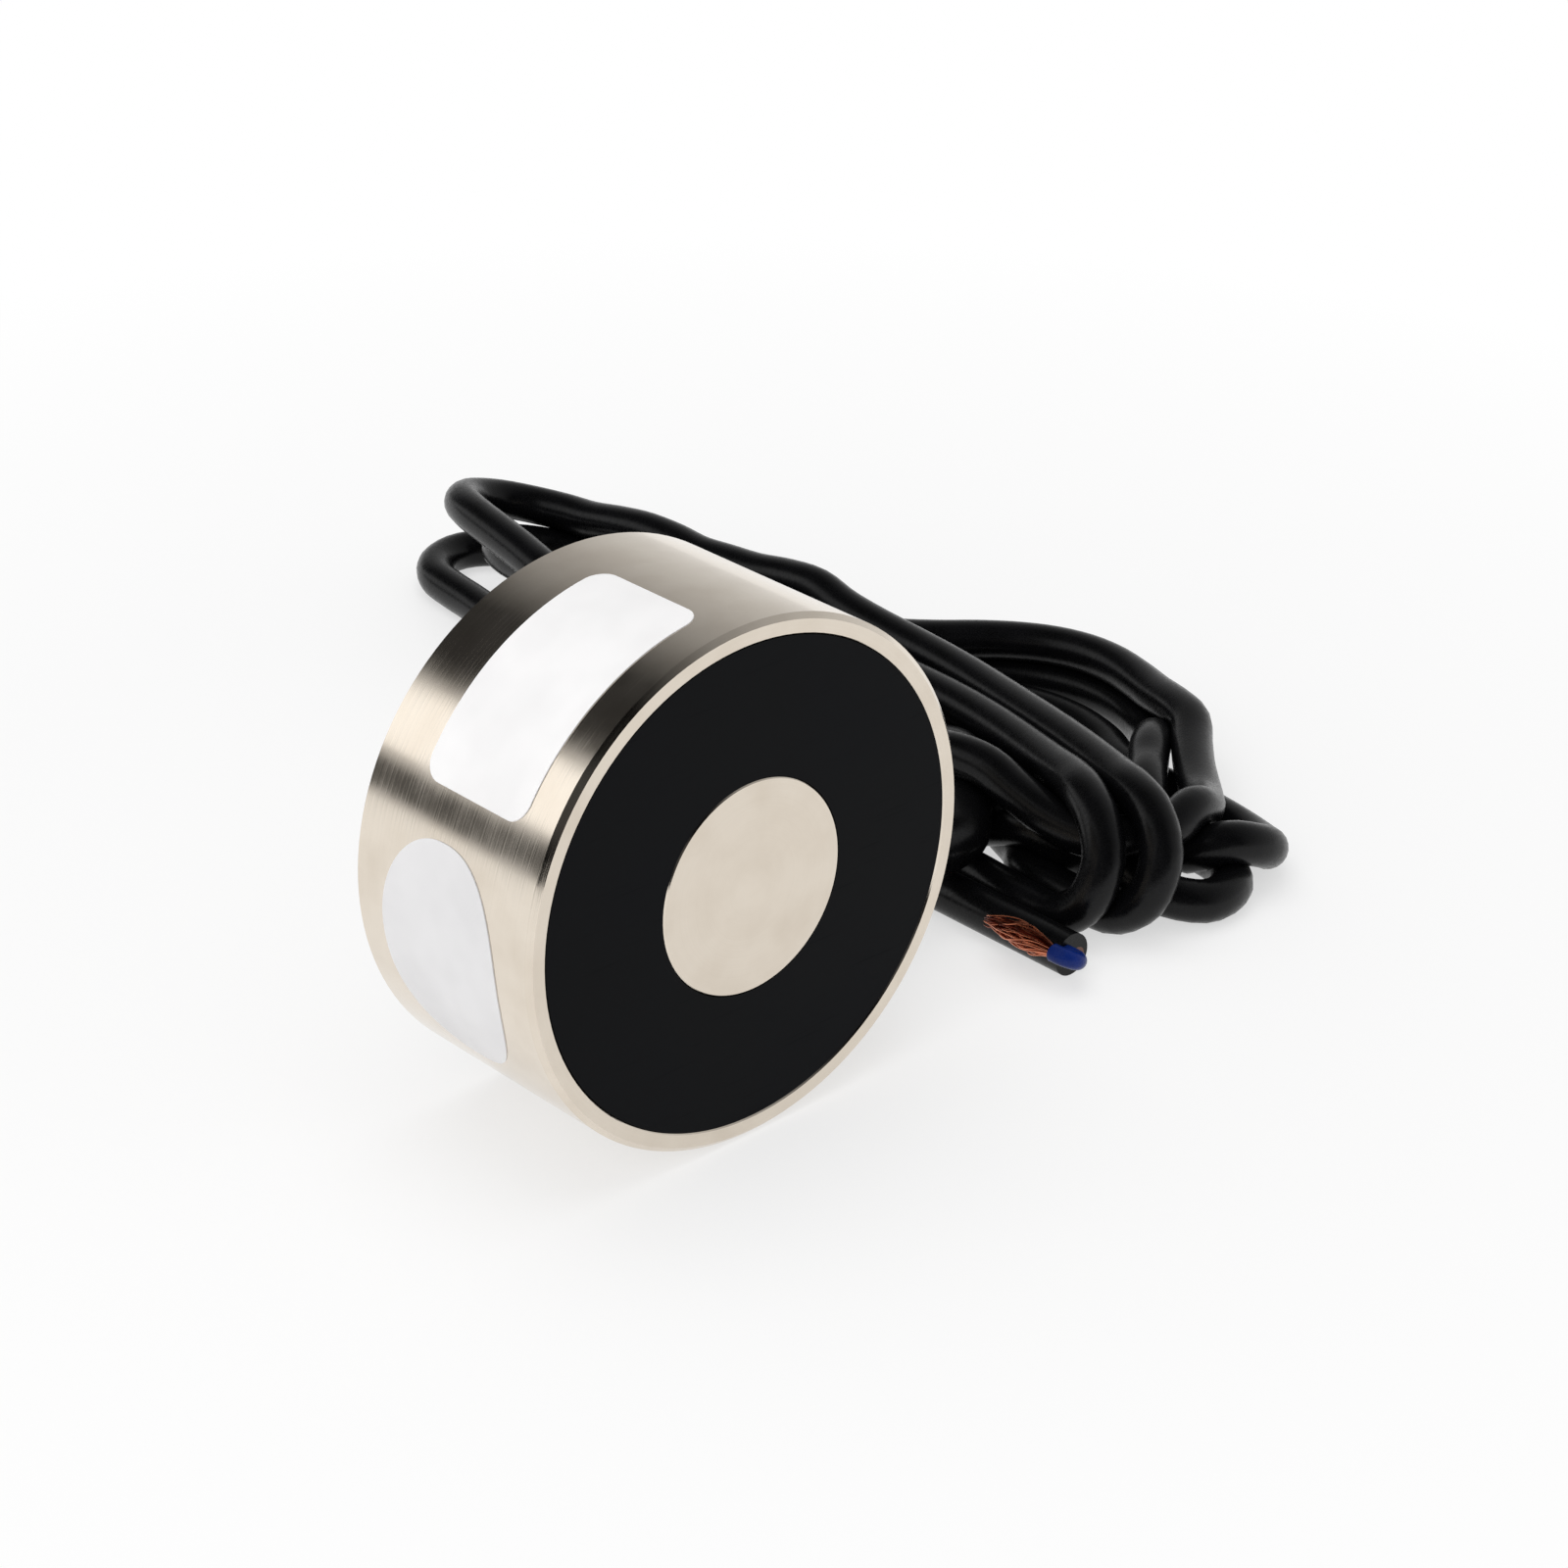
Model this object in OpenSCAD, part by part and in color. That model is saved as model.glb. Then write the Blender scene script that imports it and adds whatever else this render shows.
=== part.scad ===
// Round holding electromagnet with its cable, lying on its curved side.
// The pole face looks towards -Y and the back, with its tapped hole, towards +Y.
// The origin is on the surface the magnet lies on, below the middle of the pot.

/* [Steel pot] */
// Outer diameter of the pot
pot_d = 80; // [76:1:100]
// Height of the pot, from its back to the pole face
pot_h = 38; // [36:0.5:60]
// Width of the outer pole ring on the face
ring_w = 3.1; // [2.6:0.1:4.5]
// Thickness of the pot's base
base_t = 7.4; // [7:0.1:10]
// Chamfer round the front rim
front_chamfer = 0.8; // [0.3:0.1:1.5]
// Chamfer round the back rim
back_chamfer = 0.6; // [0.2:0.1:1.5]
// Deburred edges beside the potted groove
deburr = 0.3; // [0.1:0.05:0.5]
// Tool radius at the foot of the groove
floor_fillet = 0.8; // [0.4:0.1:1.5]

/* [Centre pole] */
// Diameter of the centre pole as a share of the pot's
pole_share = 0.41; // [0.38:0.01:0.44]
// Diameter of the spigot pressed into the base
spigot_d = 22; // [18:0.5:26]
// Radial gap left by the press fit of the spigot
press_gap = 0.01; // [0.01:0.01:0.05]
// Diameter of the tapped hole in the back, at its thread's core
tap_d = 6.8; // [5:0.1:8.5]
// Length of the tapped wall
tap_len = 14; // [8:1:20]
// Countersink at the mouth of the tapped hole
tap_sink = 0.8; // [0.3:0.1:1.5]
// Angle of the drill's point at the end of the hole
drill_angle = 118; // [90:1:140]

/* [Resin] */
// How far the resin stops short of the pole face
resin_dip = 0.1; // [0.05:0.05:0.6]
// Depth of the grooves that key the resin
key_depth = 0.6; // [0.3:0.1:1]
// Width of the grooves that key the resin
key_w = 1.6; // [1:0.2:1.6]
// Distance from the pole face to the key grooves
key_drop = 1.8; // [1.4:0.2:2]

/* [Coil] */
// Running gap between centre pole and bobbin
bobbin_gap = 0.25; // [0.1:0.05:0.5]
// Wall of the bobbin's tube
bobbin_wall = 1.2; // [0.8:0.1:2]
// Thickness of the bobbin's flanges
flange_t = 1.4; // [1:0.1:2]
// Gap between the flanges and the pot
flange_gap = 3.7; // [3:0.1:5]
// Resin over the front flange
resin_cover = 4; // [3.6:0.1:6]
// Diameter of the winding wire
wire_d = 0.8; // [0.5:0.05:1.2]
// Distance from the flange's rim in to the top of the winding
wind_drop = 1.6; // [1:0.1:3]
// Thickness of the tape round the winding
tape_t = 0.25; // [0.1:0.05:0.5]
// Gap between the tape and each flange
tape_gap = 0.4; // [0.2:0.1:1]
// Width of the ribs that the bobbin stands on
foot_w = 2.2; // [1.4:0.2:4]
// How far those ribs stop short of the flange's rim
foot_drop = 1; // [0.5:0.1:3]
// Number of ribs
foot_count = 5; // [3:1:5]
// Angle from one rib to the next
foot_step = 50; // [40:1:50]

/* [Wiring] */
// Diameter of each insulated core of the cable
core_d = 2.9; // [2.4:0.1:3]
// Distance between the middles of the two cores
core_pitch = 3; // [3:0.05:3.2]
// Diameter of each sleeved coil lead
lead_d = 1.6; // [1:0.1:2]
// Diameter of the sleeves over the joints
sleeve_d = 3.8; // [3.4:0.1:4]
// Length of the sleeves over the joints
sleeve_len = 12; // [9:0.5:12.5]
// How far a core or lead reaches into a sleeve
sleeve_grip = 4; // [2:0.5:4]
// Gap between the sleeves and the bobbin
sleeve_gap = 0.1; // [0.05:0.05:0.5]
// Angle round the pot from the cable's line to the middle of each sleeve
sleeve_at = 35; // [30:1:37]
// Radius of the cores' bends towards their sleeves
core_bend = 6.5; // [5:0.5:7]
// Radius of the start lead's bend beside its sleeve
lead_bend = 3; // [2:0.2:3.2]
// Radius of the coil leads' bends up to the coil
rise_bend = 2.2; // [1.6:0.1:2.4]
// Distance from the bobbin's drum to the start lead
start_gap = 1.6; // [1.2:0.1:2.2]
// Distance from the top of the winding in to the finish lead
finish_gap = 1.5; // [1:0.1:2.5]
// How far a core reaches into the cable's jacket
core_reach = 2; // [1:0.5:4]
// Slot in the bobbin's flange for each coil lead
slot_w = 2.6; // [2.4:0.1:4]

/* [Cable bush] */
// Angle of the cable below the level, round the pot
exit_tilt = 25; // [0:1:40]
// Gap between the cable's jacket and the pot's base
exit_gap = 0.3; // [0.2:0.1:1]
// Diameter of the cable's jacket
cable_d = 7; // [6:0.1:7.4]
// Wall of the bush's neck round the cable
neck_wall = 1.2; // [0.8:0.1:1.4]
// Gap round the neck in its hole
neck_gap = 0.1; // [0.05:0.05:0.3]
// How far the neck stands into the pot
neck_in = 1; // [0.5:0.1:1.2]
// How far the cable's jacket stands into the pot past the neck
jacket_in = 1.5; // [0.5:0.1:1.7]
// Diameter of the bush's flange
bush_d = 14; // [12:0.5:16]
// Thickness of the bush's flange
bush_t = 2.2; // [1.6:0.1:3]
// Length of the bush's ribbed nose
nose_len = 13.8; // [10:0.2:18]
// Wall of the nose round the cable at the flange
nose_wall = 2.3; // [2:0.1:2.5]
// Wall of the nose round the cable at its tip
tip_wall = 1; // [0.8:0.1:1.5]
// Chamfer on the bush's edges
bush_chamfer = 0.5; // [0.2:0.1:0.6]
// Depth of the grooves that let the nose bend
rib_depth = 0.9; // [0.4:0.1:1]
// Width of those grooves at the surface
rib_w = 1.4; // [0.8:0.1:1.8]
// Number of grooves in the nose
rib_count = 4; // [3:1:5]

/* [Labels] */
// Thickness of the labels
label_t = 0.15; // [0.1:0.05:0.3]
// Length of the upper label round the pot
plate_len = 40; // [30:1:42]
// Width of the upper label
plate_w = 21; // [16:0.5:24]
// Corner radius of the upper label
plate_r = 3; // [1:0.5:5]
// Angle of the middle of the upper label over the level
plate_at = 57.3; // [54:0.1:60]
// Distance from the pole face to the middle of the upper label
plate_drop = 17; // [14:0.5:20]
// Length of the oval label round the pot
oval_len = 38.4; // [30:0.2:40]
// Width of the oval label
oval_w = 26.4; // [20:0.2:28]
// Angle of the middle of the oval label over the level
oval_at = -7.6; // [-12:0.1:-6]
// Distance from the pole face to the middle of the oval label
oval_drop = 18.8; // [16:0.2:20]
// Squareness of the oval label, where 1 is a true ellipse
oval_power = 0.88; // [0.8:0.01:1]

/* [Cable end] */
// Length of the trimmed jacket end
jacket_end = 8; // [6:0.5:12]
// Radius of the fold in the blue core
fold_r = 2.2; // [2.1:0.1:2.5]
// How far the blue core stands out before it folds
fold_out = 1.5; // [1:0.1:3]
// Insulation left on the blue core after the fold
fold_back = 3; // [1:0.5:5]
// Angle of the fold over the level
fold_tilt = 28; // [0:1:60]
// Length of the bare frayed strands
fray_len = 12; // [8:0.5:16]
// Widest part of the frayed strands
fray_d = 4.4; // [3:0.1:4.6]
// Diameter of the conductor in a core
conductor_d = 1.5; // [1:0.1:1.8]

/* [Cable hank] */
// Height of the hank
hank_h = 27; // [20:1:40]

/* [Hidden] */

$fn = 96;
cut = 1;
arc_steps = 8;
oval_steps = 72;
strand_steps = 12;
pot_r = pot_d / 2;
pot_in_r = pot_r - ring_w;
pole_r = pole_share * pot_d / 2;
spigot_r = spigot_d / 2;
tap_r = tap_d / 2;
tap_end = tap_sink + tap_len;
key_z = pot_h - key_drop - key_w;
resin_top = pot_h - resin_dip;
exit_h = base_t + exit_gap + cable_d / 2;
bobbin_r = pole_r + bobbin_gap;
drum_r = bobbin_r + bobbin_wall;
flange_r = pot_in_r - flange_gap;
bobbin_z = exit_h + sleeve_d / 2 + sleeve_gap;
bobbin_top = pot_h - resin_cover;
wind_z0 = bobbin_z + flange_t;
wind_z1 = bobbin_top - flange_t;
wind_r = flange_r - wind_drop;
turns = floor((wind_z1 - wind_z0) / wire_d);
turn_pitch = (wind_z1 - wind_z0) / turns;
hole_d = cable_d + 2 * (neck_wall + neck_gap);
jacket_x = pot_in_r - neck_in - jacket_in;
nose_x0 = pot_r + bush_t;
nose_x1 = nose_x0 + nose_len;
nose_d = cable_d + 2 * nose_wall;
tip_d = cable_d + 2 * tip_wall;
rib_pitch = nose_len / (rib_count + 1);

// Sleeves lie across the middle of the groove. The cores' lines meet theirs at core_meet from it.
groove_mid = (pole_r + flange_r) / 2;
core_meet = (groove_mid * sin(sleeve_at) - core_pitch / 2) / cos(sleeve_at);
core_turn = 90 - sleeve_at;
core_trim = core_bend * tan(core_turn / 2);
core_run = core_reach + jacket_x - groove_mid * cos(sleeve_at) - core_meet * sin(sleeve_at) - core_trim;

// Both coil leads rise through the flange: the start at the drum, the finish near the winding's top.
start_r = drum_r + start_gap;
start_side = sleeve_len / 2 + lead_bend;
start_in = sqrt(start_r * start_r - start_side * start_side);
finish_r = wind_r - finish_gap;
finish_side = sqrt(finish_r * finish_r - groove_mid * groove_mid);

// Route of the cable out of the bush, over the tail and into the hank, where it isn't coiled.
lead_route = [[51, 7.8, 16.3], [54, 7.8, 14.9], [58, 7.8, 13.3], [62, 7.8, 12.3], [66, 7.8, 11.7],
              [68, 7.8, 11.5], [70, 7.8, 11.5]];
// The tail comes out of the hank and ends bare, its last stretch straight towards -Y.
tail_route = [[66.5, 80, 3.5], [66.5, 70, 3.5], [66, 58, 3.5], [65.5, 46, 3.5], [65.5, 34, 3.5],
              [66, 22, 3.5], [66.5, 12, 3.5], [66.5, 2, 3.5], [66.5, -10, 3.5]];
tail_end = tail_route[len(tail_route) - 1];

// Arc from angle a0 to a1 about (x, y).
function arc(x, y, r, a0, a1) = [for (i = [0:arc_steps]) let (a = a0 + (a1 - a0) * i / arc_steps)
                                 [x + r * cos(a), y + r * sin(a)]];

// Rounds of the loose hank's outline, each x, y, radius and its two angles: a wide near end,
// an ear and a narrow far end. The step is where the tail comes out.
hank_rounds = [[88, -8, 18, 180, 270], [103, -8, 18, 270, 315], [120, 38, 22, -45, 60],
               [90, 156, 16, 10, 175]];
hank_step = [[69, 118], [62.5, 98], [62.5, 80], [70, 80]];
hank_outline = concat([for (r = hank_rounds) each arc(r[0], r[1], r[2], r[3], r[4])], hank_step);

// Frame of the turned parts: z runs from the back at 0 to the pole face at pot_h.
module on_axis() translate([0, pot_h / 2, pot_r]) rotate([90, 0, 0]) children();

// Frame of the cable's exit: x runs outwards along the cable, y across, z along the pot.
module at_exit() on_axis() rotate([0, 0, -exit_tilt]) children();

// A wire made of straight lengths ["s", length] and bends ["b", radius, angle, roll].
// It starts at the origin along +x, and roll turns the plane of a bend about the wire.
module wire_run(steps, d, i = 0) {
    if (i < len(steps)) {
        step = steps[i];
        if (step[0] == "s") {
            rotate([0, 90, 0]) cylinder(d = d, h = step[1]);
            translate([step[1], 0, 0]) wire_run(steps, d, i + 1);
        } else {
            rotate([step[3], 0, 0]) translate([0, step[1], 0]) {
                rotate([0, 0, -90]) rotate_extrude(angle = step[2])
                    translate([step[1], 0]) circle(d = d);
                rotate([0, 0, step[2]]) translate([0, -step[1], 0])
                    rotate([-step[3], 0, 0]) wire_run(steps, d, i + 1);
            }
        }
    }
}

// Turned steel pot: base, wall and ring, bored for the pole's spigot and drilled for the cable.
module pot_shell() color("#cfc6b8") difference() {
    on_axis() rotate_extrude() polygon(concat(
        [[spigot_r + press_gap, 0], [pot_r - back_chamfer, 0], [pot_r, back_chamfer],
         [pot_r, pot_h - front_chamfer], [pot_r - front_chamfer, pot_h],
         [pot_in_r + deburr, pot_h], [pot_in_r, pot_h - deburr],
         [pot_in_r, key_z + key_w], [pot_in_r + key_depth, key_z + key_w - key_depth / 2],
         [pot_in_r + key_depth, key_z + key_depth / 2], [pot_in_r, key_z]],
        arc(pot_in_r - floor_fillet, base_t + floor_fillet, floor_fillet, 0, -90),
        [[spigot_r + press_gap, base_t]]));
    at_exit() translate([pot_in_r - cut, 0, exit_h]) rotate([0, 90, 0])
        cylinder(d = hole_d, h = ring_w + 2 * cut);
}

// Turned centre pole: shoulder on the base, spigot through it, tapped from the back.
module centre_pole() color("#cfc6b8") on_axis() rotate_extrude() polygon([
    [tap_r + tap_sink, 0], [spigot_r - deburr, 0], [spigot_r, deburr], [spigot_r, base_t],
    [pole_r, base_t], [pole_r, key_z], [pole_r - key_depth, key_z + key_depth / 2],
    [pole_r - key_depth, key_z + key_w - key_depth / 2], [pole_r, key_z + key_w],
    [pole_r, pot_h - deburr], [pole_r - deburr, pot_h], [0, pot_h],
    [0, tap_end + tap_r / tan(drill_angle / 2)], [tap_r, tap_end], [tap_r, tap_sink]]);

// Moulded bobbin: drum, two flanges, slots for the coil leads and ribs that stand on the base.
module bobbin() color("#e9e2cf") {
    difference() {
        on_axis() rotate_extrude() polygon([
            [bobbin_r, bobbin_z], [flange_r, bobbin_z], [flange_r, wind_z0], [drum_r, wind_z0],
            [drum_r, wind_z1], [flange_r, wind_z1], [flange_r, bobbin_top], [bobbin_r, bobbin_top]]);
        lead_slot(sleeve_at + atan2(start_side, start_in), start_r);
        lead_slot(-sleeve_at - atan2(finish_side, groove_mid), finish_r);
    }
    for (i = [0:foot_count - 1]) at_exit() rotate([0, 0, 180 + (i - (foot_count - 1) / 2) * foot_step])
        translate([drum_r, -foot_w / 2, base_t])
        cube([flange_r - drum_r - foot_drop, foot_w, bobbin_z - base_t]);
}

// Slot for a coil lead, open towards the flange's rim.
module lead_slot(at, r) at_exit() rotate([0, 0, at])
    translate([r, 0, bobbin_z - cut]) {
        cylinder(d = slot_w, h = flange_t + 2 * cut);
        translate([0, -slot_w / 2, 0]) cube([flange_r, slot_w, flange_t + 2 * cut]);
    }

// Copper winding: one solid whose outer layer shows its turns.
module coil_winding() color("#b5642a") on_axis() rotate_extrude() union() {
    translate([drum_r, wind_z0]) square([wind_r - drum_r - turn_pitch / 2, wind_z1 - wind_z0]);
    for (i = [0:turns - 1]) translate([wind_r - turn_pitch / 2, wind_z0 + (i + 0.5) * turn_pitch])
        circle(d = turn_pitch, $fn = 24);
}

// Yellow tape wrapped over the winding.
module coil_tape() color("#d8b43a") on_axis() translate([0, 0, wind_z0 + tape_gap]) difference() {
    cylinder(r = wind_r + tape_t, h = wind_z1 - wind_z0 - 2 * tape_gap);
    translate([0, 0, -cut]) cylinder(r = wind_r, h = pot_h);
}

// Core of the cable inside the pot: out of the jacket, round a bend and into its sleeve.
module inner_core(side) at_exit() translate([jacket_x + core_reach, side * core_pitch / 2, exit_h])
    rotate([0, 0, 180]) wire_run([["s", core_run], ["b", core_bend, core_turn, side > 0 ? 180 : 0],
        ["s", core_meet - core_trim - sleeve_len / 2 + sleeve_grip]], core_d);

// Frame of a sleeve: x runs along it, away from the cable, from the sleeve's middle.
module at_sleeve(side) at_exit() rotate([0, 0, side * sleeve_at]) translate([groove_mid, 0, exit_h])
    rotate([0, 0, side * 90]) children();

module sleeve(side) at_sleeve(side) translate([-sleeve_len / 2, 0, 0]) rotate([0, 90, 0]) difference() {
    cylinder(d = sleeve_d, h = sleeve_len);
    translate([0, 0, -cut]) cylinder(d = core_d, h = sleeve_grip + cut);
    translate([0, 0, sleeve_len - sleeve_grip]) cylinder(d = lead_d, h = sleeve_grip + cut);
}

// Sleeved lead from a joint up through the flange to the winding.
module coil_lead(side, steps) at_sleeve(side) translate([sleeve_len / 2 - sleeve_grip, 0, 0])
    wire_run(concat([["s", sleeve_grip]], steps,
        [["b", rise_bend, 90, 90], ["s", wind_z0 - exit_h - rise_bend]]), lead_d);

module blue_core_inner() color("#2450b8") inner_core(1);
module brown_core_inner() color("#6b3a1e") inner_core(-1);
module start_sleeve() color("#e8e8e4") sleeve(1);
module finish_sleeve() color("#e8e8e4") sleeve(-1);
module start_lead() color("#b5442a") coil_lead(1, [["b", lead_bend, 90, 0],
    ["s", groove_mid - lead_bend - rise_bend - start_in]]);
module finish_lead() color("#b5442a") coil_lead(-1, [["s", finish_side - sleeve_len / 2 - rise_bend]]);

// Black resin that fills the groove round and over the coil, flush with the pole face.
module potting_resin() color("#1b1b1e") difference() {
    on_axis() rotate_extrude() polygon(concat(
        [[pole_r, bobbin_top], [flange_r, bobbin_top], [flange_r, wind_z1], [wind_r + tape_t, wind_z1],
         [wind_r + tape_t, wind_z0], [flange_r, wind_z0], [flange_r, base_t]],
        arc(pot_in_r - floor_fillet, base_t + floor_fillet, floor_fillet, -90, 0),
        [[pot_in_r, key_z], [pot_in_r + key_depth, key_z + key_depth / 2],
         [pot_in_r + key_depth, key_z + key_w - key_depth / 2], [pot_in_r, key_z + key_w],
         [pot_in_r, resin_top], [pole_r, resin_top],
         [pole_r, key_z + key_w], [pole_r - key_depth, key_z + key_w - key_depth / 2],
         [pole_r - key_depth, key_z + key_depth / 2], [pole_r, key_z]]));
    at_exit() translate([flange_r - cut, 0, exit_h]) rotate([0, 90, 0])
        cylinder(d = hole_d, h = flange_gap + 2 * cut);
}

// Rubber bush: neck through the wall, saddle-backed flange and a ribbed nose.
function nose_at(x) = (nose_d + (tip_d - nose_d) * (x - nose_x0) / nose_len) / 2;
function rib_groove(x) = [
    [nose_at(x - rib_w / 2), x - rib_w / 2], [nose_at(x) - rib_depth, x - rib_w / 4],
    [nose_at(x) - rib_depth, x + rib_w / 4], [nose_at(x + rib_w / 2), x + rib_w / 2]];

module cable_bush() color("#202022") at_exit() translate([0, 0, exit_h]) difference() {
    union() {
        rotate([0, 90, 0]) translate([0, 0, pot_in_r - neck_in])
            cylinder(d = cable_d + 2 * neck_wall, h = ring_w + neck_in + bush_t);
        difference() {
            rotate([0, 90, 0]) rotate_extrude() polygon(concat(
                [[0, pot_in_r], [bush_d / 2, pot_in_r], [bush_d / 2, nose_x0 - bush_chamfer],
                 [bush_d / 2 - bush_chamfer, nose_x0]],
                [for (i = [1:rib_count]) each rib_groove(nose_x0 + i * rib_pitch)],
                [[tip_d / 2, nose_x1 - bush_chamfer], [tip_d / 2 - bush_chamfer, nose_x1], [0, nose_x1]]));
            translate([0, 0, -pot_h]) cylinder(r = pot_r, h = 2 * pot_h);
        }
    }
    rotate([0, 90, 0]) cylinder(d = cable_d, h = pot_d);
}

// Short length of jacket with two bores at one end that hold the cores.
module jacket(length) rotate([0, 90, 0]) difference() {
    cylinder(d = cable_d, h = length);
    for (s = [-1, 1]) translate([0, s * core_pitch / 2, -cut]) cylinder(d = core_d, h = core_reach + cut);
}

module jacket_inner() color("#151517") at_exit() translate([jacket_x, 0, exit_h])
    jacket(nose_x1 - jacket_x);

// Labels that follow the curve of the pot; angles rise from the level on the -X side.
module label_shell() difference() {
    cylinder(r = pot_r + label_t, h = pot_h);
    translate([0, 0, -cut]) cylinder(r = pot_r, h = pot_h + 2 * cut);
}

module wrapped(at, drop) on_axis() intersection() {
    label_shell();
    rotate([0, 0, 180 - at]) translate([pot_r / 2, 0, pot_h - drop])
        rotate([90, 0, 90]) linear_extrude(pot_r) children();
}

function chord(length) = 2 * pot_r * sin(length / pot_d * 180 / PI);

module rating_label() color("#f4f2f0") wrapped(plate_at, plate_drop) {
    w = chord(plate_len);
    square([w - 2 * plate_r, plate_w], center = true);
    square([w, plate_w - 2 * plate_r], center = true);
    for (x = [-1, 1], y = [-1, 1]) translate([x * (w / 2 - plate_r), y * (plate_w / 2 - plate_r)])
        circle(r = plate_r);
}

// Slightly squared oval, one side of it at a time.
function oval_side(v) = sign(v) * pow(abs(v), oval_power);
module oval_label() color("#f0f0f0") wrapped(oval_at, oval_drop)
    polygon([for (i = [0:oval_steps - 1]) let (a = 360 * i / oval_steps)
        [chord(oval_len) / 2 * oval_side(cos(a)), oval_w / 2 * oval_side(sin(a))]]);

// Sweeps a tube of diameter d along the route's own points.
function unit(v) = v / norm(v);
function heading(p, i) = unit(p[min(i + 1, len(p) - 1)] - p[max(i - 1, 0)]);
function side_of(t) = unit(cross(t, abs(t[2]) > 0.9 ? [1, 0, 0] : [0, 0, 1]));
function ring(c, t, d, n) = let (a = side_of(t), b = cross(a, t))
    [for (k = [0:n - 1]) c + d / 2 * (a * cos(360 * k / n) + b * sin(360 * k / n))];

module tube(p, d, n = 12) {
    rings = len(p);
    polyhedron([for (i = [0:rings - 1]) each ring(p[i], heading(p, i), d, n)], concat(
        [[for (k = [0:n - 1]) k]],
        [for (i = [0:rings - 2], k = [0:n - 1]) let (a = i * n + k, b = i * n + (k + 1) % n)
            [a, a + n, b + n, b]],
        [[for (k = [n - 1:-1:0]) (rings - 1) * n + k]]));
}

module cable_lead_out() color("#151517") tube(lead_route, cable_d);
module cable_tail() color("#151517") tube(tail_route, cable_d);

module cable_hank() color("#151517") linear_extrude(hank_h) polygon(hank_outline);

// Frame of the cable's cut end: x runs out of the jacket, y lies on the side that the cores fold to.
module at_cut_end() translate(tail_end) rotate([0, 0, -90])
    rotate([180 - fold_tilt, 0, 0]) children();

module cable_jacket_end() color("#151517") at_cut_end()
    translate([jacket_end, 0, 0]) rotate([0, 0, 180]) jacket(jacket_end);

module blue_core_end() color("#2450b8") at_cut_end()
    translate([jacket_end - core_reach, core_pitch / 2, 0])
    wire_run([["s", core_reach + fold_out], ["b", fold_r, 180, 0], ["s", fold_back]], core_d);

module brown_core_end() color("#6b3a1e") at_cut_end()
    translate([jacket_end - core_reach, -core_pitch / 2, 0]) wire_run([["s", core_reach]], core_d);

// Bare strands, frayed into a spindle.
module copper_strands() color("#a8502c") at_cut_end()
    translate([jacket_end + fold_out - fold_back, core_pitch / 2 + 2 * fold_r, 0]) rotate([0, -90, 0])
    rotate_extrude($fn = 32) polygon(concat([[0, 0]],
        [for (i = [0:strand_steps]) let (t = i / strand_steps)
            [conductor_d / 2 + (fray_d - conductor_d) / 2 * sin(180 * t), fray_len * t]],
        [[0, fray_len]]));

pot_shell();
centre_pole();
bobbin();
coil_winding();
coil_tape();
potting_resin();
start_lead();
finish_lead();
start_sleeve();
finish_sleeve();
blue_core_inner();
brown_core_inner();
cable_bush();
jacket_inner();
rating_label();
oval_label();
cable_lead_out();
cable_hank();
cable_tail();
cable_jacket_end();
blue_core_end();
brown_core_end();
copper_strands();
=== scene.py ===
"""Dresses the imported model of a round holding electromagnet: finishes, cable, frayed end, stage and camera."""
import math
import random

import bpy
import numpy as np
from mathutils import Matrix, Vector


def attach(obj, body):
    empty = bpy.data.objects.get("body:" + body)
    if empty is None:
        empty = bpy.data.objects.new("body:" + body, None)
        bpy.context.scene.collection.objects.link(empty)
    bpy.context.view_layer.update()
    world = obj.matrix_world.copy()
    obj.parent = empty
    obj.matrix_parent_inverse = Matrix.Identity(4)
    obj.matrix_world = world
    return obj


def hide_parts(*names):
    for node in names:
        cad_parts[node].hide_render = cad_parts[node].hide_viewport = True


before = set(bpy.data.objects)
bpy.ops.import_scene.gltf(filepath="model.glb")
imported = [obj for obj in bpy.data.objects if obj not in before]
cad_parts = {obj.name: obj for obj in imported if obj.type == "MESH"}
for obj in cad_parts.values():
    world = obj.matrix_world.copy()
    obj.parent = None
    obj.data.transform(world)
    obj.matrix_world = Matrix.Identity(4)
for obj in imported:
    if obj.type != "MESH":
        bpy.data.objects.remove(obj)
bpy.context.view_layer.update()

bl_info = {
    "name": "Holding electromagnet",
    "version": (1, 0, 0),
    "blender": (4, 5, 0),
    "location": "View3D > Sidebar > Magnet",
    "description": "Finishes, cable and stage for a round holding electromagnet",
    "category": "Object",
}

MM = 0.001
POT_AXIS_Z = 0.040
POT_R = 0.040
POT_HALF_H = 0.019

# The cable's route out of the bush and its tail, as in the part's source.
LEAD_ROUTE = [(0.0510, 0.0078, 0.0163), (0.0540, 0.0078, 0.0149), (0.0580, 0.0078, 0.0133),
              (0.0620, 0.0078, 0.0123), (0.0660, 0.0078, 0.0117), (0.0680, 0.0078, 0.0115),
              (0.0700, 0.0078, 0.0115)]
TAIL_ROUTE = [(0.0665, 0.0800, 0.0035), (0.0665, 0.0700, 0.0035), (0.0660, 0.0580, 0.0035),
              (0.0655, 0.0460, 0.0035), (0.0655, 0.0340, 0.0035), (0.0660, 0.0220, 0.0035),
              (0.0665, 0.0120, 0.0035), (0.0665, 0.0020, 0.0035), (0.0665, -0.0100, 0.0035)]


def arc(x, y, radius, start, end, z0, z1, count):
    """Points of an arc about (x, y) from angle start to end in degrees, rising from z0 to z1."""
    points = []
    for i in range(count):
        share = i / (count - 1)
        angle = math.radians(start + (end - start) * share)
        points.append((x + radius * math.cos(angle), y + radius * math.sin(angle), z0 + (z1 - z0) * share))
    return points


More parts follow.
